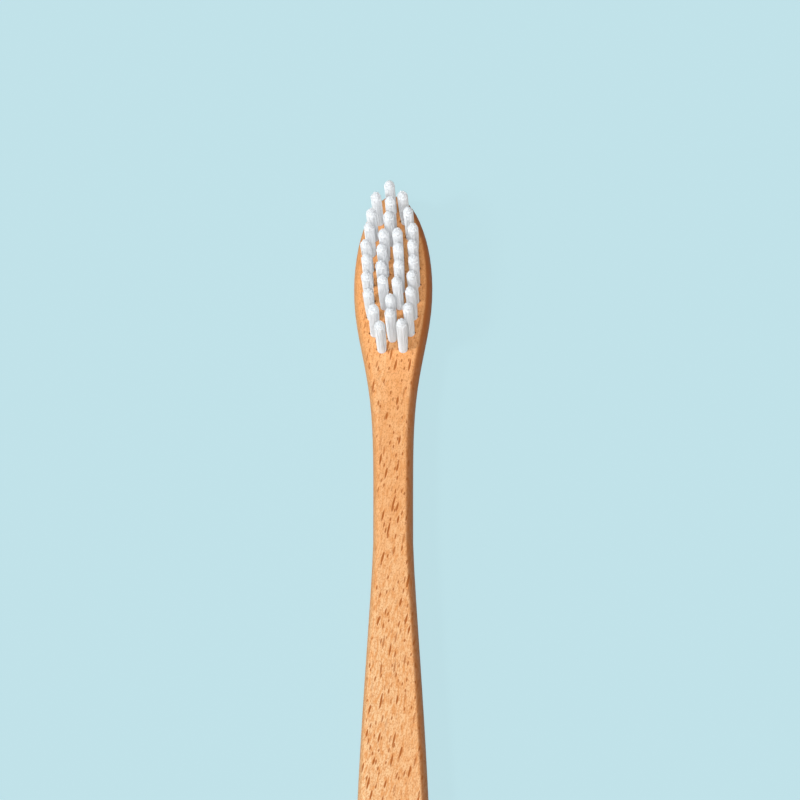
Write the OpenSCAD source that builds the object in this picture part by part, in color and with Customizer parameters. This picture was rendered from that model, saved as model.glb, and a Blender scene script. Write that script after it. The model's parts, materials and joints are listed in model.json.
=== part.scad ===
// Manual toothbrush: a one-piece beech handle and 31 white nylon tufts, each held by a brass anchor plate.
// It lies on its flat back with the bristles up. X runs across it, Y towards the toe of the head,
// and Z up from the surface it rests on. The origin is under the middle of its length.

/* [Outline] */
// Length from the butt to the toe
overall_len = 188; // [165:1:210]
// Greatest width of the head
head_w = 12.7; // [12:0.1:15]
// Distance from the toe to the widest place of the head
head_peak = 16.3; // [15:0.1:20]
// Width of the neck
neck_w = 6.3; // [5:0.1:8]
// Length over which the sides of the head draw in to the neck
shoulder_len = 15.3; // [13:0.1:17]
// Distance from the toe to the place where the neck starts to widen into the grip
neck_end = 60.5; // [55:0.5:72]
// Greatest width of the grip
grip_w = 12.4; // [9:0.1:16]
// Distance from the butt to the widest place of the grip
butt_len = 40; // [25:1:60]
// How much narrower the grip has grown where its end starts to round off
butt_taper = 0.8; // [0:0.1:1.5]

/* [Thickness] */
// Thickness of the neck and grip
body_t = 6; // [6:0.1:8]
// Thickness of the head, whose back is hollowed away while its face stays level
head_t = 5; // [4.5:0.1:6]
// Distance from the toe to the place where the back starts to rise
back_rise_start = 50; // [44:1:60]
// Length over which the back rises
back_rise_len = 18; // [12:1:24]
// How far the bulging sides reach out past the flats, front and back. They are widest halfway up.
side_bulge = 1.25; // [0.8:0.05:2]

/* [Tuft pattern] */
// Distance from the toe to the centre of the last tuft
toe_margin = 3.5; // [3.3:0.1:4.5]
// Distance from row to row
row_pitch = 2.85; // [2.7:0.05:3.1]
// How far the outer tufts of a row sit ahead of its middle
row_bow = 0.95; // [0:0.05:1.2]
// Distance between the two tufts of the heel row
heel_gap = 3.4; // [2.4:0.1:4]
// Flat wood left between an outer hole and the rounded side
hole_land = 0.6; // [0.1:0.05:0.8]

/* [Tufts] */
// Diameter of the holes
hole_d = 1.5; // [1.3:0.05:1.7]
// Depth of the holes
hole_depth = 3; // [2.6:0.1:3.4]
// Height of the tufts above the face of the head
tuft_h = 10.6; // [8:0.1:12]
// Gap between the wall of a hole and the root of its tuft
root_clear = 0.01; // [0.01:0.01:0.05]
// How far the root of a tuft stops short of the face
root_drop = 0.3; // [0.1:0.1:0.5]
// How far the outer strands lean out over their length
tuft_splay = 0.16; // [0:0.02:0.2]
// How much lower the outer strands end than the middle one, which gives the tuft its rounded tip
tuft_dome = 1; // [0:0.1:1.5]

/* [Anchors] */
// Thickness of the flat wire
anchor_t = 0.3; // [0.2:0.05:0.4]
// Height of an anchor plate
anchor_h = 1.4; // [1:0.1:1.5]
// How far the plate bites into the wood on each side of its hole
anchor_bite = 0.2; // [0.1:0.05:0.25]
// How far the plate sits above the floor of its hole, on the fold of the filaments
anchor_lift = 0.5; // [0.3:0.1:0.6]

/* [Smoothness] */
// Steps round each side of the toe
toe_steps = 14; // [8:1:20]
// Steps from the head's widest place to the end of the neck
shoulder_steps = 20; // [12:1:28]
// Steps along the grip
grip_steps = 18; // [10:1:28]
// Steps round each side of the butt
butt_steps = 14; // [8:1:20]
// Steps from each flat to the widest part of the sides
side_steps = 6; // [3:1:7]
// Facets round a hole
hole_steps = 48; // [24:4:72]
// Sides of the root of a tuft, whose corners come within the clearance of the hole's wall
root_sides = 12; // [6:2:12]

/* [Hidden] */
// Number of tufts in each row, from the heel row to the toe
ROW_COUNTS = [2, 3, 3, 4, 4, 4, 4, 3, 3, 1];
// Place names across a row, for a row of that many tufts
PLACE_NAMES = [
    [],
    ["middle"],
    ["left", "right"],
    ["left", "middle", "right"],
    ["left_outer", "left_inner", "right_inner", "right_outer"]
];
// Strands in each ring of a tuft, from its middle outwards
RING_COUNTS = [1, 5, 8];
// Radius of each ring, as a share of the root's radius
ring_radius_share = [0, 0.392, 0.743];
// Thickness of a strand, as a share of the root's radius
strand_side_share = 0.29;
// How sharply the shoulder, the start and end of the grip's swell, and the butt turn
shoulder_power = 2.15;
swell_start_power = 1.3;
swell_end_power = 2.8;
butt_power = 10;

row_total = len(ROW_COUNTS);
neck_half = neck_w / 2;
grip_peak = overall_len - butt_len;
face_z = body_t;
head_back_z = body_t - head_t;
hole_floor_z = face_z - hole_depth;
root_d = hole_d - 2 * root_clear;
root_h = hole_depth - root_drop;
strand_side = strand_side_share * root_d / 2;
outer_ring_r = max(ring_radius_share) * root_d / 2;
anchor_w = hole_d + 2 * anchor_bite;
// Distance from the rounded outline to the centre of an outer tuft
outer_margin = side_bulge + hole_land + hole_d / 2;
// Overrun of the cuts through the face
overrun = 0.2;
// Depth to which the strands are bedded in their root
strand_bed = 0.2;

// Outline

// Smooth step from 0 to 1
function ease(s) = s <= 0 ? 0 : s >= 1 ? 1 : s * s * (3 - 2 * s);

// Share of the head's extra width over the neck that is left at distance d from the toe
function head_share(d) = exp(-pow((d - head_peak) / shoulder_len, shoulder_power));

// Share of the grip's extra width over the neck that is reached at distance d from the toe
function swell_share(d) =
    let (s = min(1, max(0, (d - neck_end) / (grip_peak - neck_end))))
    1 - pow(1 - pow(s, swell_start_power), swell_end_power);

// Share of the width that the taper and the round end of the butt leave at distance d from the toe
function butt_share(d) =
    let (s = min(1, max(0, (d - grip_peak) / butt_len)))
    (1 - butt_taper / grip_w * s * s) * sqrt(1 - pow(s, butt_power));

// Half the width of the handle at distance d from the toe
function half_width(d) =
    d < head_peak
    ? head_w / 2 * sqrt(1 - pow(1 - d / head_peak, 2))
    : (neck_half
        + (head_w / 2 - neck_half) * head_share(d)
        + (grip_w / 2 - neck_half) * swell_share(d)) * butt_share(d);

// Height of the back over the surface at distance d from the toe
function back_z(d) = head_back_z * ease((back_rise_start - d) / back_rise_len);

// Distances from the toe at which the outline has a pair of points, close together where it turns
STATIONS = concat(
    [for (i = [0 : toe_steps - 1]) head_peak * (1 - cos(90 * i / toe_steps))],
    [for (i = [0 : shoulder_steps - 1]) head_peak + (neck_end - head_peak) * i / shoulder_steps],
    [for (i = [0 : grip_steps - 1]) neck_end + (grip_peak - neck_end) * i / grip_steps],
    [for (i = [0 : butt_steps]) grip_peak + butt_len * pow(sin(90 * i / butt_steps), 2 / butt_power)]
);
station_total = len(STATIONS);
// Points round the outline: one at each end, and two at every other station
loop_total = 2 * station_total - 2;

// Station of point i of the outline, which runs from the toe down the left side and back up the right
function station_of(i) = i < station_total ? i : loop_total - i;
function side_of(i) = i < station_total ? -1 : 1;
LOOP = [
    for (i = [0 : loop_total - 1])
        let (d = STATIONS[station_of(i)])
        [side_of(i) * half_width(d), overall_len / 2 - d]
];

// Outward direction of the outline at its point i
function outward(i) =
    let (
        along = LOOP[(i + 1) % loop_total] - LOOP[(i + loop_total - 1) % loop_total],
        out = [along[1], -along[0]]
    )
    out / norm(out);

// Half the thickness at point i of the outline
function half_t(i) = (face_z - back_z(STATIONS[station_of(i)])) / 2;

// Place on the oval side at point i, as an angle, where the surface has turned from the flat by so much
function side_angle(i, turn) = atan2(side_bulge * sin(turn), half_t(i) * cos(turn));

// The outline drawn in to where the side has turned by so much: 0 is on the flat, and 90 is halfway up
function back_ring(turn) = [
    for (i = [0 : loop_total - 1])
        let (
            angle = side_angle(i, turn),
            p = LOOP[i] - side_bulge * (1 - sin(angle)) * outward(i)
        )
        [p[0], p[1], face_z - half_t(i) * (1 + cos(angle))]
];
function face_ring(turn) = [
    for (i = [0 : loop_total - 1])
        let (
            angle = side_angle(i, turn),
            p = LOOP[i] - side_bulge * (1 - sin(angle)) * outward(i)
        )
        [p[0], p[1], face_z - half_t(i) * (1 - cos(angle))]
];

// Handle

// The blank before drilling: rings stacked from the back to the face, closed by strips from left to right
module handle_blank() {
    ring_total = 2 * side_steps + 1;
    rings = [
        for (i = [0 : side_steps]) back_ring(90 * i / side_steps),
        for (i = [1 : side_steps]) face_ring(90 * (1 - i / side_steps))
    ];
    last = (ring_total - 1) * loop_total;
    sides = [
        for (r = [0 : ring_total - 2], i = [0 : loop_total - 1])
            let (
                a = r * loop_total + i,
                b = r * loop_total + (i + 1) % loop_total,
                c = a + loop_total,
                e = b + loop_total
            )
            each [[a, c, b], [b, c, e]]
    ];
    strips = [
        for (i = [0 : station_total - 2])
            let (
                left = i,
                next_left = i + 1,
                right = (loop_total - i) % loop_total,
                next_right = loop_total - i - 1
            )
            each concat(
                i == 0 ? [] : [[left, next_left, right]],
                i == station_total - 2 ? [] : [[right, next_left, next_right]]
            )
    ];
    back = strips;
    face = [for (t = strips) [t[2] + last, t[1] + last, t[0] + last]];
    polyhedron(points = [for (ring = rings) each ring], faces = concat(sides, back, face));
}

module handle() {
    color("#F6B97F")
    difference() {
        handle_blank();
        for (row = [0 : row_total - 1], i = [0 : ROW_COUNTS[row] - 1])
            translate(tuft_place(row, i)) {
                cylinder(d = hole_d, h = hole_depth + overrun, $fn = hole_steps);
                translate([-anchor_w / 2, -anchor_t / 2, anchor_lift])
                cube([anchor_w, anchor_t, hole_depth - anchor_lift + overrun]);
            }
    }
}

// Tufts

// Distance from the toe to the line of a row, where row 0 is the heel row
function row_distance(row) = toe_margin + (row_total - 1 - row) * row_pitch;

// How far across tuft i of a row of that many sits. Three or four stand evenly between -reach and reach.
function across(count, i, reach) =
    count == 1 ? 0
    : count == 2 ? (i - 1 / 2) * heel_gap
    : (2 * i / (count - 1) - 1) * reach;

// Floor of the hole of tuft i of a row
function tuft_place(row, i) =
    let (
        count = ROW_COUNTS[row],
        outer_d = row_distance(row) - row_bow,
        reach = half_width(outer_d) - outer_margin,
        outer = count > 1 && (i == 0 || i == count - 1)
    )
    [across(count, i, reach), overall_len / 2 - (outer ? outer_d : row_distance(row)), hole_floor_z];

function tuft_name(row, i) =
    str("tuft_row", row + 1 < 10 ? "0" : "", row + 1, "_", PLACE_NAMES[ROW_COUNTS[row]][i]);

// One strand of four sides, standing at radius r of its tuft and leaning straight outwards
module strand(r) {
    half = strand_side / 2;
    reach = r / outer_ring_r;
    foot = [r, 0, root_h - strand_bed];
    tip = [r + tuft_splay * reach, 0, hole_depth + tuft_h - tuft_dome * reach * reach];
    corners = [[-half, -half, 0], [half, -half, 0], [half, half, 0], [-half, half, 0]];
    polyhedron(
        points = concat([for (c = corners) foot + c], [for (c = corners) tip + c]),
        faces = [
            [0, 1, 2], [0, 2, 3], [4, 6, 5], [4, 7, 6],
            [0, 5, 1], [0, 4, 5], [1, 6, 2], [1, 5, 6],
            [2, 7, 3], [2, 6, 7], [3, 4, 0], [3, 7, 4]
        ]
    );
}

// A tuft on the floor of its hole: the folded root, cut by its anchor plate, and the strands above it
module tuft() {
    color("#F2F4F6")
    union() {
        difference() {
            rotate(180 / root_sides) cylinder(d = root_d, h = root_h, $fn = root_sides);
            translate([-anchor_w / 2, -anchor_t / 2, anchor_lift])
            cube([anchor_w, anchor_t, anchor_h]);
        }
        for (ring = [0 : len(RING_COUNTS) - 1], i = [0 : RING_COUNTS[ring] - 1])
            rotate(360 * i / RING_COUNTS[ring])
            strand(ring_radius_share[ring] * root_d / 2);
    }
}

// The plates that pin the folds of the tufts, seated on the floors of their slots in the wood
module tuft_anchors() {
    color("#C9A452")
    for (row = [0 : row_total - 1], i = [0 : ROW_COUNTS[row] - 1])
        translate(tuft_place(row, i))
        translate([-anchor_w / 2, -anchor_t / 2, anchor_lift])
        cube([anchor_w, anchor_t, anchor_h]);
}

handle();
tuft_anchors();
for (row = [0 : row_total - 1], i = [0 : ROW_COUNTS[row] - 1])
    translate(tuft_place(row, i)) tuft();
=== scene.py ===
"""A manual toothbrush with a beech handle and 31 nylon tufts, lying on its back on pale paper."""
import json
import math
import random

import bpy
from mathutils import Matrix, Vector

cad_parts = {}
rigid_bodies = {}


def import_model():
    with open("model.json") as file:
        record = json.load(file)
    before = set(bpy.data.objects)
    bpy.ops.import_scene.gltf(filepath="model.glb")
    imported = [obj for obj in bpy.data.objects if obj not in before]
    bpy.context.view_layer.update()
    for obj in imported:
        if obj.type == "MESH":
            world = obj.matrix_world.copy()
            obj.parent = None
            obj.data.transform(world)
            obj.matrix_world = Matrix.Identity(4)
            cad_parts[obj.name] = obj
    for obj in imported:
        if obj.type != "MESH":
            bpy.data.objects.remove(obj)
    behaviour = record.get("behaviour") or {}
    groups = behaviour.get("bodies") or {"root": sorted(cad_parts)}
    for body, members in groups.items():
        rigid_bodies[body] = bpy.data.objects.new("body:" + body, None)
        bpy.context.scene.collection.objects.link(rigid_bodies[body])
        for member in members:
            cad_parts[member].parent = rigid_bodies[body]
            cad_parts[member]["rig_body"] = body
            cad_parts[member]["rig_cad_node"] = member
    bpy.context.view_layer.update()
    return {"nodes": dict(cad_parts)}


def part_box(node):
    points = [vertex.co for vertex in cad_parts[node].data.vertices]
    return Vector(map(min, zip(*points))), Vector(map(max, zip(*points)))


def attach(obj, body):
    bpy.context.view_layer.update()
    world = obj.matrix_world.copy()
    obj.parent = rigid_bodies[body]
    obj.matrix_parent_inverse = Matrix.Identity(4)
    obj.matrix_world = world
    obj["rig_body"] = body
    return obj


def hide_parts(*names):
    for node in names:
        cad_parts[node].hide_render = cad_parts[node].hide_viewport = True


MM = 0.001

# The photograph's view: how far the camera leans from straight above towards the butt, and how far
# sideways
CAMERA_LEAN = math.radians(24)
CAMERA_ROLL = math.radians(2.6)
CAMERA_DISTANCE = 600 * MM
# The picture's scale at the sight point, its width in pixels, and the sensor's width in millimetres
PIXELS_PER_MM = 6.2
PICTURE_WIDTH = 800
SENSOR = 36
# The point of the face that the view is set by: its distance from the toe, and its pixel in the photograph
SIGHT_FROM_TOE = 17.7 * MM
SIGHT_PIXEL = (392.5, 290)

# Lamps: the direction that each comes from, its strength, its apparent width and its colour. The key light
# comes from the left and is just wide enough that the tufts throw no stripes on the paper. The fill stands
# by the camera, and the card on the far left throws back the light of the paper.
LAMPS = {
    "key": (Vector((-0.5, -0.22, 0.62)), 1.32, math.radians(9), "#FFFFFF"),
    "fill": (Vector((0.03, -0.44, 0.9)), 1.65, math.radians(12), "#FFFFFF"),
    "left_card": (Vector((-0.9, -0.15, 0.3)), 0.62, math.radians(50), "#C8E8F4"),
}
# The strength of the even light in the room
ROOM_LIGHT = 0.2
# The paper: its colour, its width in metres, and how much of its colour shows whatever light falls on it.
# The rest takes light and shadow.
PAPER_COLOUR = "#C1E2E9"
PAPER_WIDTH = 3
PAPER_PLAIN = 0.92

# Beech: how far the grain runs aslant, how much more the bundles of fibres do, and how far the cells that
# hold the rays are turned
GRAIN_TURN = math.radians(11)
BUNDLE_TURN = math.radians(10)
CELL_TURN = math.radians(35)
# The handle's mesh: vertices closer than the first are merged, faces that meet at less than the second are
# joined, and edges sharper than the third stay sharp
MERGE_DISTANCE = 0.0005 * MM
FLAT_ANGLE = math.radians(0.05)
EDGE_ANGLE = math.radians(35)

# One nylon filament. The length that it is modelled at, the heights of its rings as shares of that, and the
# turns that round its tip
FILAMENT_RADIUS = 0.075 * MM
FILAMENT_SIDES = 6
FILAMENT_UNIT = 10 * MM
STEP_HEIGHTS = (0.14, 0.17, 0.25, 0.42, 0.6, 0.8, 1)
TIP_TURNS = (math.radians(30), math.radians(60))

# One tuft: how many filaments each ring of it holds, from the middle one outwards, and how far apart the
# rings are
RING_COUNTS = (1, 6, 12, 19, 30)
RING_PITCH = 0.15 * MM
TUFT_RADIUS = RING_PITCH * (len(RING_COUNTS) - 1)
# Its width where it leaves the hole, and at its tip, as shares of the rings' own width. It spreads quickly
# at first and then less, by this power of the way up.
NECK_SPREAD = 1.08
TIP_SPREAD = 1.28
SPREAD_POWER = 0.5
# Its domed end: how far the outer filaments end below the middle one, by this power of the way outwards, how
# much shorter than that a filament may be, and the room for the rounding of its tip
TIP_DOME = 1.2 * MM
DOME_POWER = 2.5
TIP_UNEVEN = 0.2 * MM
TIP_ROOM = 0.1 * MM
# How far the tip of one filament, and that of the whole tuft, stray sideways
TIP_SCATTER = 0.03 * MM
TUFT_LEAN = 0.12 * MM
# The packed inside of a tuft is one rod: how far it ends below the filament ends, and starts below the face
CORE_DEPTH = 0.12 * MM
CORE_START = 0.5 * MM
# In the hole the filaments pass on both sides of the anchor plate: half its thickness, and the share of its
# width that each half of the tuft keeps there
ANCHOR_HALF = 0.15 * MM
ANCHOR_SQUEEZE = 0.6


def linear(colour):
    """Linear colour of an sRGB hex value."""
    shares = [int(colour[i:i + 2], 16) / 255 for i in (1, 3, 5)]
    return [s / 12.92 if s <= 0.04045 else ((s + 0.055) / 1.055) ** 2.4 for s in shares] + [1]


def add_node(tree, kind, inputs=None, **settings):
    """Adds a node with its settings. Each input is a value, or another node's output, which is linked."""
    node = tree.nodes.new(kind)
    for name, value in settings.items():
        setattr(node, name, value)
    for name, value in (inputs or {}).items():
        if isinstance(value, bpy.types.NodeSocket):
            tree.links.new(value, node.inputs[name])
        else:
            node.inputs[name].default_value = value
    return node


def new_material(name):
    """An empty node material and its node tree."""
    material = bpy.data.materials.new(name)
    material.use_nodes = True
    material.node_tree.nodes.clear()
    return material, material.node_tree


def deselect():
    """Leaves nothing selected."""
    if bpy.context.object and bpy.context.object.mode != "OBJECT":
        bpy.ops.object.mode_set(mode="OBJECT")
    bpy.ops.object.select_all(action="DESELECT")


def make_active(piece):
    """Leaves one piece selected and active."""
    deselect()
    piece.select_set(True)
    bpy.context.view_layer.objects.active = piece


def beech_tone(tree, lengthwise, drift, bundle):
    """The colour of the wood between its rays, as it is on the face."""
    # Annual rings lie almost level, so they show on the face as broad soft bands
    bands = add_node(tree, "ShaderNodeMapping", {"Vector": drift.outputs[0], "Scale": (0.2, 0.015, 0.45)})
    band = add_node(tree, "ShaderNodeTexNoise", {"Vector": bands.outputs[0], "Scale": 1, "Detail": 2})
    # The grip is a shade paler than the neck
    deeper = add_node(tree, "ShaderNodeMapRange", {
        "Value": lengthwise.outputs["Y"], "From Min": -30, "From Max": 40, "To Min": -0.36, "To Max": 0.3})
    depth = add_node(tree, "ShaderNodeMath", {0: band.outputs["Fac"], 1: deeper.outputs[0]}, operation="ADD")
    tone = add_node(tree, "ShaderNodeMix", {
        "Factor": add_node(tree, "ShaderNodeMapRange", {
            "Value": depth.outputs[0], "From Min": 0.2, "From Max": 0.9}).outputs[0],
        "A": linear("#FFD4A1"),
        "B": linear("#F5B073"),
    }, data_type="RGBA")
    # The bundles of fibres mottle it
    tone = add_node(tree, "ShaderNodeMix", {
        "Factor": add_node(tree, "ShaderNodeMapRange", {
            "Value": bundle.outputs["Fac"], "From Min": 0.42, "From Max": 0.64}).outputs[0],
        "A": tone.outputs["Result"],
        "B": linear("#EBA263"),
    }, data_type="RGBA")
    # Pores, drawn coarser than real ones so that they show
    pores = add_node(tree, "ShaderNodeMapping", {"Vector": drift.outputs[0], "Scale": (5.2, 3, 5.2)})
    pore = add_node(tree, "ShaderNodeTexNoise", {"Vector": pores.outputs[0], "Scale": 1, "Detail": 1})
    return add_node(tree, "ShaderNodeMix", {
        "Factor": add_node(tree, "ShaderNodeMapRange", {
            "Value": pore.outputs["Fac"], "From Min": 0.5, "From Max": 0.66, "To Max": 0.6}).outputs[0],
        "A": tone.outputs["Result"],
        "B": linear("#D08348"),
    }, data_type="RGBA")


def beech_rays(tree, lengthwise, facing, drift):
    """How dark the rays make each place: 0 beside them, and up to 1 in the middle of one."""
    # A coarse and a fine set: spacing across and along, half width and half length, in millimetres, the
    # share of places that hold no ray, and how dark the rays are. The cells that hold them are turned, so
    # that the rays don't line up in rows.
    ray_sets = [
        (1.4, 3.4, 0.17, 1.3, 0.35, 1),
        (0.8, 1.8, 0.13, 0.55, 0.4, 0.9),
    ]
    dark = None
    for across, along, half_width, half_length, bare, strength in ray_sets:
        cells = add_node(tree, "ShaderNodeMapping", {
            "Vector": drift.outputs[0], "Rotation": (0, 0, CELL_TURN), "Scale": (1 / across, 1 / along, 0)})
        nearest = add_node(tree, "ShaderNodeTexVoronoi", {
            "Vector": cells.outputs[0], "Scale": 1, "Randomness": 0.95}, voronoi_dimensions="2D")
        chance = add_node(tree, "ShaderNodeSeparateColor", {0: nearest.outputs["Color"]})
        away = add_node(tree, "ShaderNodeVectorMath", {
            0: cells.outputs[0], 1: nearest.outputs["Position"]}, operation="SUBTRACT")
        away = add_node(tree, "ShaderNodeVectorRotate", {
            "Vector": away.outputs[0], "Angle": -CELL_TURN}, rotation_type="Z_AXIS")
        shape = add_node(tree, "ShaderNodeVectorMath", {
            0: away.outputs[0], 1: (across / half_width, along / half_length, 0)}, operation="MULTIPLY")
        shape = add_node(tree, "ShaderNodeSeparateXYZ", {0: shape.outputs[0]})
        longer = add_node(tree, "ShaderNodeMapRange", {
            "Value": chance.outputs[0], "To Min": 1.9, "To Max": 0.75})
        # A ray is cut through as a spindle: its width falls off with the square of the way along it
        ends = add_node(tree, "ShaderNodeMath", {
            0: shape.outputs["Y"], 1: longer.outputs[0]}, operation="MULTIPLY")
        ends = add_node(tree, "ShaderNodeMath", {
            0: ends.outputs[0], 1: ends.outputs[0]}, operation="MULTIPLY")
        side = add_node(tree, "ShaderNodeMath", {0: shape.outputs["X"]}, operation="ABSOLUTE")
        reach = add_node(tree, "ShaderNodeMath", {0: side.outputs[0], 1: ends.outputs[0]}, operation="ADD")
        spot = add_node(tree, "ShaderNodeMapRange", {
            "Value": reach.outputs[0], "From Min": 1.2, "From Max": 0.7}, interpolation_type="SMOOTHSTEP")
        shown = add_node(tree, "ShaderNodeMapRange", {
            "Value": chance.outputs[1], "From Min": bare, "From Max": bare + 0.3, "To Max": strength})
        rays = add_node(tree, "ShaderNodeMath", {
            0: spot.outputs[0], 1: shown.outputs[0]}, operation="MULTIPLY")
        dark = rays if dark is None else add_node(tree, "ShaderNodeMath", {
            0: dark.outputs[0], 1: rays.outputs[0]}, operation="MAXIMUM")
    # Few of them come out on the head, and on the sides they lie along the surface and hardly show
    fewer = add_node(tree, "ShaderNodeMapRange", {
        "Value": lengthwise.outputs["Y"], "From Min": 62, "From Max": 72, "To Min": 1, "To Max": 0.3})
    dark = add_node(tree, "ShaderNodeMath", {
        0: dark.outputs[0], 1: fewer.outputs[0]}, operation="MULTIPLY")
    steep = add_node(tree, "ShaderNodeMath", {0: facing.outputs["Z"]}, operation="ABSOLUTE")
    fainter = add_node(tree, "ShaderNodeMapRange", {
        "Value": steep.outputs[0], "From Min": 0.2, "From Max": 0.7, "To Min": 0.12, "To Max": 1})
    return add_node(tree, "ShaderNodeMath", {
        0: dark.outputs[0], 1: fainter.outputs[0]}, operation="MULTIPLY")


def beech_material():
    """European beech, planed, sanded and oiled: warm pink-orange and nearly matt. The rays that run through
    the wood from face to back show as short dark dashes along the grain, which runs a little aslant."""
    material, tree = new_material("oiled_beech")
    place = add_node(tree, "ShaderNodeTexCoord")
    facing = add_node(tree, "ShaderNodeSeparateXYZ", {0: place.outputs["Normal"]})
    # From metres to millimetres, turned so that the grain runs along Y
    grain = add_node(tree, "ShaderNodeMapping", {
        "Vector": place.outputs["Object"],
        "Rotation": (0, 0, GRAIN_TURN),
        "Scale": (1000, 1000, 1000),
    })
    lengthwise = add_node(tree, "ShaderNodeSeparateXYZ", {0: grain.outputs[0]})
    # The grain wanders by about half a millimetre to either side every 20 mm or so
    wander = add_node(tree, "ShaderNodeTexNoise", {"Vector": grain.outputs[0], "Scale": 0.05, "Detail": 1})
    drift = add_node(tree, "ShaderNodeVectorMath", {
        0: wander.outputs["Color"],
        1: (2.4, 0, 0),
        2: grain.outputs[0],
    }, operation="MULTIPLY_ADD")
    # Short bundles of fibres, a third of a millimetre across, lie a little more aslant than the grain
    bundles = add_node(tree, "ShaderNodeMapping", {
        "Vector": drift.outputs[0],
        "Rotation": (0, 0, BUNDLE_TURN),
        "Scale": (3.2, 0.7, 3.2),
    })
    bundle = add_node(tree, "ShaderNodeTexNoise", {
        "Vector": bundles.outputs[0], "Scale": 1, "Detail": 3, "Roughness": 0.6})

    tone = beech_tone(tree, lengthwise, drift, bundle)
    # Painted shade: the wood is painted darker and redder on the brush's right side, the side turned away
    # from the key lamp, most of all at the head
    painted_shade_strength = add_node(tree, "ShaderNodeMapRange", {
        "Value": lengthwise.outputs["Y"], "From Min": 50, "From Max": 70, "To Min": 0.6, "To Max": 0.9})
    tone = add_node(tree, "ShaderNodeMix", {
        "Factor": add_node(tree, "ShaderNodeMapRange", {
            "Value": facing.outputs["X"], "From Min": 0.3, "From Max": 0.7,
            "To Max": painted_shade_strength.outputs[0]}).outputs[0],
        "A": tone.outputs["Result"],
        "B": linear("#B3632D"),
    }, data_type="RGBA")
    dark = beech_rays(tree, lengthwise, facing, drift)
    colour = add_node(tree, "ShaderNodeMix", {
        "Factor": dark.outputs[0],
        "A": tone.outputs["Result"],
        "B": linear("#B7682F"),
    }, data_type="RGBA")

    # The rays and the darker bundles are sunk a few hundredths of a millimetre into the surface
    relief = add_node(tree, "ShaderNodeMath", {0: dark.outputs[0], 1: -1}, operation="MULTIPLY")
    relief = add_node(tree, "ShaderNodeMath", {
        0: bundle.outputs["Fac"], 1: -0.3, 2: relief.outputs[0]}, operation="MULTIPLY_ADD")
    bump = add_node(tree, "ShaderNodeBump", {
        "Height": relief.outputs[0], "Strength": 0.6, "Distance": 0.03 * MM})
    dull = add_node(tree, "ShaderNodeMapRange", {
        "Value": bundle.outputs["Fac"], "From Min": 0.3, "From Max": 0.7, "To Min": 0.5, "To Max": 0.66})
    shader = add_node(tree, "ShaderNodeBsdfPrincipled", {
        "Base Color": colour.outputs["Result"],
        "Roughness": dull.outputs[0],
        "Specular IOR Level": 0.15,
        "IOR": 1.5,
        "Normal": bump.outputs[0],
    })
    add_node(tree, "ShaderNodeOutputMaterial", {"Surface": shader.outputs[0]})
    return material


def nylon_material():
    """Extruded nylon filament, white and slightly cloudy: light goes a little way in, and the surface
    shines softly."""
    material, tree = new_material("white_nylon_filament")
    shade = add_node(tree, "ShaderNodeAttribute", attribute_name="shade")
    colour = add_node(tree, "ShaderNodeMix", {
        "Factor": shade.outputs["Fac"],
        "A": linear("#F3F5F7"),
        "B": linear("#FBFCFE"),
    }, data_type="RGBA")
    # Upward-facing surfaces are painted greyer. A cut end lets light into the filament, so it throws back
    # less of it than the sides do, and in part this is painted shade that keeps the tops, which face the
    # lamps, from outshining the sides
    place = add_node(tree, "ShaderNodeTexCoord")
    facing = add_node(tree, "ShaderNodeSeparateXYZ", {0: place.outputs["Normal"]})
    colour = add_node(tree, "ShaderNodeMix", {
        "Factor": add_node(tree, "ShaderNodeMapRange", {
            "Value": facing.outputs["Z"], "From Min": 0.3, "From Max": 0.8}).outputs[0],
        "A": colour.outputs["Result"],
        "B": linear("#E6E9EC"),
    }, data_type="RGBA")
    # Light that enters a filament at its tip leaves it along its sides. So the sides take light as if they
    # leaned up towards the tip.
    normal = add_node(tree, "ShaderNodeNewGeometry")
    axis = add_node(tree, "ShaderNodeVectorTransform", {
        0: (0, 0, 1)}, vector_type="VECTOR", convert_from="OBJECT", convert_to="WORLD")
    bent = add_node(tree, "ShaderNodeVectorMath", {
        0: axis.outputs[0], 1: (0.6, 0.6, 0.6), 2: normal.outputs["Normal"]}, operation="MULTIPLY_ADD")
    bent = add_node(tree, "ShaderNodeVectorMath", {0: bent.outputs[0]}, operation="NORMALIZE")
    shader = add_node(tree, "ShaderNodeBsdfPrincipled", {
        "Base Color": colour.outputs["Result"],
        "Roughness": 0.38,
        "Specular IOR Level": 0.15,
        "IOR": 1.53,
        "Normal": bent.outputs[0],
    })
    add_node(tree, "ShaderNodeOutputMaterial", {"Surface": shader.outputs[0]})
    return material


def brass_material():
    """Drawn and flattened brass wire, dull from the drawing die, with fine lines along it."""
    material, tree = new_material("drawn_brass_wire")
    place = add_node(tree, "ShaderNodeTexCoord")
    # From metres: the lines are a twentieth of a millimetre apart and a few millimetres long
    lines = add_node(tree, "ShaderNodeMapping", {
        "Vector": place.outputs["Object"], "Scale": (400, 20000, 20000)})
    line = add_node(tree, "ShaderNodeTexNoise", {"Vector": lines.outputs[0], "Scale": 1, "Detail": 2})
    rough = add_node(tree, "ShaderNodeMapRange", {
        "Value": line.outputs["Fac"], "To Min": 0.25, "To Max": 0.5})
    colour = add_node(tree, "ShaderNodeMix", {
        "Factor": line.outputs["Fac"],
        "A": linear("#D9B65E"),
        "B": linear("#B08A3C"),
    }, data_type="RGBA")
    shader = add_node(tree, "ShaderNodeBsdfPrincipled", {
        "Base Color": colour.outputs["Result"],
        "Metallic": 1,
        "Roughness": rough.outputs[0],
    })
    add_node(tree, "ShaderNodeOutputMaterial", {"Surface": shader.outputs[0]})
    return material


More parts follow.
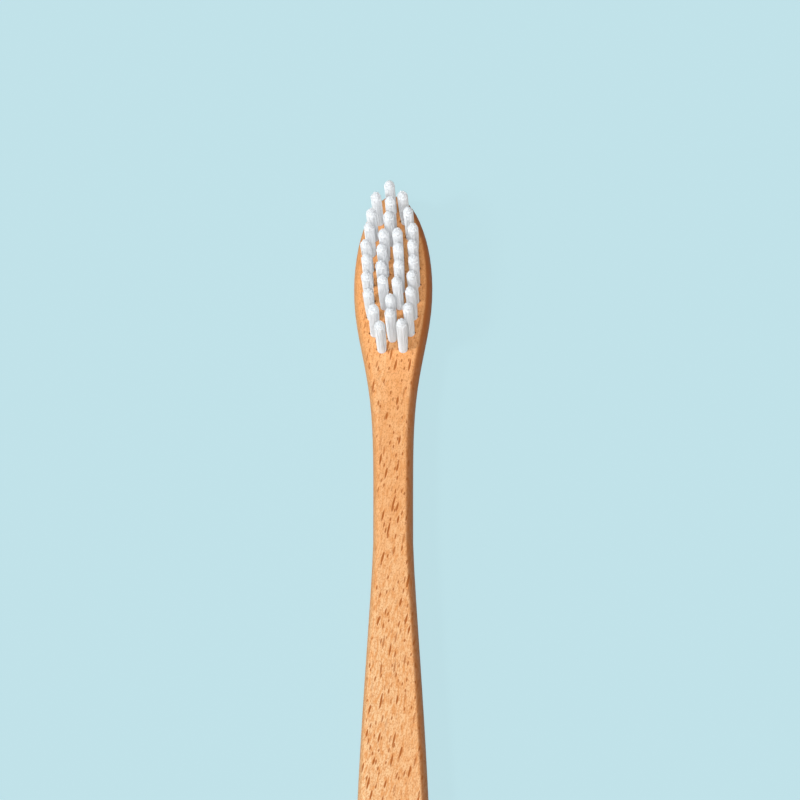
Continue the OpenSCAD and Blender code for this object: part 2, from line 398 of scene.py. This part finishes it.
def seen_rays(tree):
    """A node that gives 1 for the rays that show a surface to the camera, straight or by way of gloss or
    glass, and 0 for those that light the object."""
    ray = add_node(tree, "ShaderNodeLightPath")
    seen = add_node(tree, "ShaderNodeMath", {
        0: ray.outputs["Is Camera Ray"], 1: ray.outputs["Is Glossy Ray"]}, operation="MAXIMUM")
    return add_node(tree, "ShaderNodeMath", {
        0: seen.outputs[0], 1: ray.outputs["Is Transmission Ray"]}, operation="MAXIMUM")


def paper_material():
    """The pale cyan sheet under the brush. The camera sees most of its colour as it is, so that the shadow
    of the brush stays pale. The light that it throws back at the brush is warm and weak, since the brush in
    the photograph picks up no cyan."""
    material, tree = new_material("pale_cyan_paper")
    colour = linear(PAPER_COLOUR)
    seen = seen_rays(tree)
    thrown = add_node(tree, "ShaderNodeMix", {
        "Factor": seen.outputs[0], "A": linear("#AD9579"), "B": colour}, data_type="RGBA")
    matt = add_node(tree, "ShaderNodeBsdfDiffuse", {"Color": thrown.outputs["Result"]})
    plain = add_node(tree, "ShaderNodeEmission", {"Color": colour, "Strength": 1})
    share = add_node(tree, "ShaderNodeMath", {0: seen.outputs[0], 1: PAPER_PLAIN}, operation="MULTIPLY")
    mixed = add_node(tree, "ShaderNodeMixShader", {
        0: share.outputs[0], 1: matt.outputs[0], 2: plain.outputs[0]})
    add_node(tree, "ShaderNodeOutputMaterial", {"Surface": mixed.outputs[0]})
    return material


def make_floor():
    """A wide level sheet of paper under the brush."""
    deselect()
    bpy.ops.mesh.primitive_plane_add(size=PAPER_WIDTH)
    floor = bpy.context.object
    floor.name = "paper_sheet"
    floor.data.materials.append(paper_material())


def make_light():
    """The lamps, and an even white light in the room. The camera sees the paper's colour in its place."""
    for name, (source, strength, width, colour) in LAMPS.items():
        deselect()
        bpy.ops.object.light_add(type="SUN", location=source)
        lamp = bpy.context.object
        lamp.name = name
        lamp.data.energy = strength
        lamp.data.angle = width
        lamp.data.color = linear(colour)[:3]
        lamp.rotation_mode = "QUATERNION"
        lamp.rotation_quaternion = source.to_track_quat("Z", "Y")

    world = bpy.data.worlds.new("room")
    bpy.context.scene.world = world
    world.use_nodes = True
    tree = world.node_tree
    tree.nodes.clear()
    even = add_node(tree, "ShaderNodeBackground", {"Color": (1, 1, 1, 1), "Strength": ROOM_LIGHT})
    backdrop = add_node(tree, "ShaderNodeBackground", {"Color": linear(PAPER_COLOUR), "Strength": 1})
    mixed = add_node(tree, "ShaderNodeMixShader", {
        0: seen_rays(tree).outputs[0], 1: even.outputs[0], 2: backdrop.outputs[0]})
    add_node(tree, "ShaderNodeOutputWorld", {"Surface": mixed.outputs[0]})


def make_camera(face_z, toe_y):
    """The photograph's camera, set so that the sight point on the face falls on its pixel."""
    back = Vector((
        math.sin(CAMERA_ROLL) * math.cos(CAMERA_LEAN),
        -math.sin(CAMERA_LEAN),
        math.cos(CAMERA_ROLL) * math.cos(CAMERA_LEAN),
    )).normalized()
    up = (Vector((0, 1, 0)) - back * back.y).normalized()
    right = up.cross(back)
    focal = PIXELS_PER_MM * CAMERA_DISTANCE / MM
    sight = Vector((0, toe_y - SIGHT_FROM_TOE, face_z))
    half = PICTURE_WIDTH / 2
    across = (SIGHT_PIXEL[0] - half) / focal * CAMERA_DISTANCE
    along = (half - SIGHT_PIXEL[1]) / focal * CAMERA_DISTANCE
    deselect()
    bpy.ops.object.camera_add(location=sight - across * right - along * up + CAMERA_DISTANCE * back)
    camera = bpy.context.object
    camera.name = "photograph_view"
    camera.data.sensor_width = SENSOR
    camera.data.lens = focal / PICTURE_WIDTH * SENSOR
    camera.data.clip_start = 10 * MM
    camera.data.clip_end = 10
    camera.rotation_mode = "QUATERNION"
    camera.rotation_quaternion = Matrix((right, up, back)).transposed().to_quaternion()
    bpy.context.scene.camera = camera


def make_handle(node, wood):
    """The beech handle: a merged copy of the solid, with its rounded edges shaded smooth."""
    deselect()
    handle = node.copy()
    handle.data = node.data.copy()
    bpy.context.scene.collection.objects.link(handle)
    handle.parent = None
    # The copy is a piece of its own, so the marks of the solid come off it
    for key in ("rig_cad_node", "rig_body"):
        del handle[key]
    handle.name = "beech_handle"
    make_active(handle)
    bpy.ops.object.mode_set(mode="EDIT")
    bpy.ops.mesh.select_all(action="SELECT")
    bpy.ops.mesh.remove_doubles(threshold=MERGE_DISTANCE)
    bpy.ops.mesh.dissolve_limited(angle_limit=FLAT_ANGLE)
    bpy.ops.object.mode_set(mode="OBJECT")
    bpy.ops.object.shade_smooth_by_angle(angle=EDGE_ANGLE)
    bpy.ops.object.modifier_add(type="WEIGHTED_NORMAL")
    handle.modifiers[-1].keep_sharp = True
    bpy.ops.object.modifier_apply(modifier=handle.modifiers[-1].name)
    handle.data.materials.clear()
    handle.data.materials.append(wood)
    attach(handle, "root")
    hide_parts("handle")


def model_filament():
    """One straight filament standing on the origin: a six-sided rod in steps, with a rounded tip."""
    foot = STEP_HEIGHTS[0] * FILAMENT_UNIT
    deselect()
    bpy.ops.mesh.primitive_cylinder_add(
        vertices=FILAMENT_SIDES, radius=FILAMENT_RADIUS, depth=foot, location=(0, 0, foot / 2),
        end_fill_type="NGON")
    filament = bpy.context.object
    filament.name = "filament"
    bpy.ops.object.transform_apply(location=True, rotation=False, scale=False)
    bpy.ops.object.mode_set(mode="EDIT")
    bpy.ops.mesh.select_mode(type="FACE")
    bpy.ops.mesh.select_all(action="DESELECT")
    bpy.ops.object.mode_set(mode="OBJECT")
    for face in filament.data.polygons:
        face.select = face.normal.z > 0.9
    bpy.ops.object.mode_set(mode="EDIT")
    height = STEP_HEIGHTS[0]
    for step in STEP_HEIGHTS[1:]:
        rise = (step - height) * FILAMENT_UNIT
        bpy.ops.mesh.extrude_region_move(TRANSFORM_OT_translate={"value": (0, 0, rise)})
        height = step
    # The rounded tip: each step is shorter across and less high
    turned = 0
    for turn in TIP_TURNS:
        rise = FILAMENT_RADIUS * (math.sin(turn) - math.sin(turned))
        scale = math.cos(turn) / math.cos(turned)
        bpy.ops.mesh.extrude_region_move(TRANSFORM_OT_translate={"value": (0, 0, rise)})
        bpy.ops.transform.resize(value=(scale, scale, 1))
        turned = turn
    bpy.ops.object.mode_set(mode="OBJECT")
    bpy.ops.object.shade_smooth()
    return filament


def stray(chance, size):
    """A random step sideways, of about this size."""
    return Vector((chance.gauss(0, 1), chance.gauss(0, 1))) * size


def filament_places(chance):
    """Places of the filaments in a tuft, across the hole: rings round the middle one, each turned anyhow."""
    places = []
    for ring, count in enumerate(RING_COUNTS):
        turn = chance.uniform(0, math.tau)
        for number in range(count):
            angle = turn + math.tau * number / count
            places.append((ring * RING_PITCH * math.cos(angle), ring * RING_PITCH * math.sin(angle)))
    return places


def bend_filament(filament, place, tip, bow, reach, face, plate):
    """A copy of the filament: held beside its anchor plate, gathered at the face, and spread towards its
    tip in a slight bow."""
    x, y = place
    side = 1 if y > 0 else -1
    root = Vector((x, y * ANCHOR_SQUEEZE + side * (ANCHOR_HALF + FILAMENT_RADIUS)))
    neck = Vector(place) * NECK_SPREAD
    strand = filament.copy()
    strand.data = filament.data.copy()
    for point in strand.data.vertices:
        z = point.co.z / FILAMENT_UNIT * reach
        if z <= face:
            gathered = min(1, max(0, (z - plate) / (face - plate)))
            middle = root.lerp(neck, gathered)
        else:
            up = (z - face) / (reach - face)
            middle = neck.lerp(tip, up ** SPREAD_POWER) + bow * math.sin(math.pi * up)
        point.co = (point.co.x + middle.x, point.co.y + middle.y, z)
    return strand


def make_core(filament, length, face, lean):
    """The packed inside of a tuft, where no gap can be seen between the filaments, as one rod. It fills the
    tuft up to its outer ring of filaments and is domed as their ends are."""
    core = filament.copy()
    core.data = filament.data.copy()
    start = face - CORE_START
    for point in core.data.vertices:
        across = Vector((point.co.x, point.co.y)) / FILAMENT_RADIUS
        top = length - TIP_DOME * across.length ** DOME_POWER - CORE_DEPTH
        z = start + min(1, point.co.z / FILAMENT_UNIT) * (top - start)
        up = max(0, (z - face) / (length - face)) ** SPREAD_POWER
        middle = across * TUFT_RADIUS * (NECK_SPREAD + (TIP_SPREAD - NECK_SPREAD) * up) + lean * up
        point.co = (middle.x, middle.y, z)
    return core


def make_tuft(name, number, face_z, plate_z, filament, nylon):
    """One tuft: filaments held apart by their anchor plate in the hole, gathered at the face and slightly
    spread at their domed end."""
    low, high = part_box(name)
    centre = (low + high) / 2
    length = high.z - low.z - TIP_ROOM
    # The heights of the face and of the top of the anchor plate, above the floor of the hole
    face = face_z - low.z
    plate = plate_z - low.z
    chance = random.Random(number)
    lean = stray(chance, TUFT_LEAN)
    strands = []
    for place in filament_places(chance):
        outward = math.hypot(*place) / TUFT_RADIUS
        reach = length - TIP_DOME * outward ** DOME_POWER - chance.uniform(0, TIP_UNEVEN)
        tip = Vector(place) * TIP_SPREAD + lean + stray(chance, TIP_SCATTER)
        bow = stray(chance, TIP_SCATTER)
        strands.append(bend_filament(filament, place, tip, bow, reach, face, plate))
    strands.append(make_core(filament, length, face, lean))
    deselect()
    for strand in strands:
        shade = strand.data.attributes.new("shade", "FLOAT", "POINT")
        shade.data.foreach_set("value", [chance.random()] * len(strand.data.vertices))
        strand.data.transform(Matrix.Translation((centre.x, centre.y, low.z)))
        bpy.context.scene.collection.objects.link(strand)
        strand.select_set(True)
    bpy.context.view_layer.objects.active = strands[0]
    bpy.ops.object.join()
    tuft = bpy.context.object
    tuft.name = name.replace("tuft_", "bristles_")
    tuft.data.materials.clear()
    tuft.data.materials.append(nylon)
    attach(tuft, "root")
    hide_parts(name)


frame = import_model()
nodes = frame["nodes"]
handle_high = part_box("handle")[1]
anchors_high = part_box("tuft_anchors")[1]

bpy.context.scene.view_settings.view_transform = "Standard"
make_camera(handle_high.z, handle_high.y)
make_light()
make_floor()

make_handle(nodes["handle"], beech_material())
nylon = nylon_material()
filament = model_filament()
for number, name in enumerate(sorted(n for n in nodes if n.startswith("tuft_row"))):
    make_tuft(name, number, handle_high.z, anchors_high.z, filament, nylon)
bpy.data.objects.remove(filament)

anchors = nodes["tuft_anchors"]
anchors.data.materials.clear()
anchors.data.materials.append(brass_material())
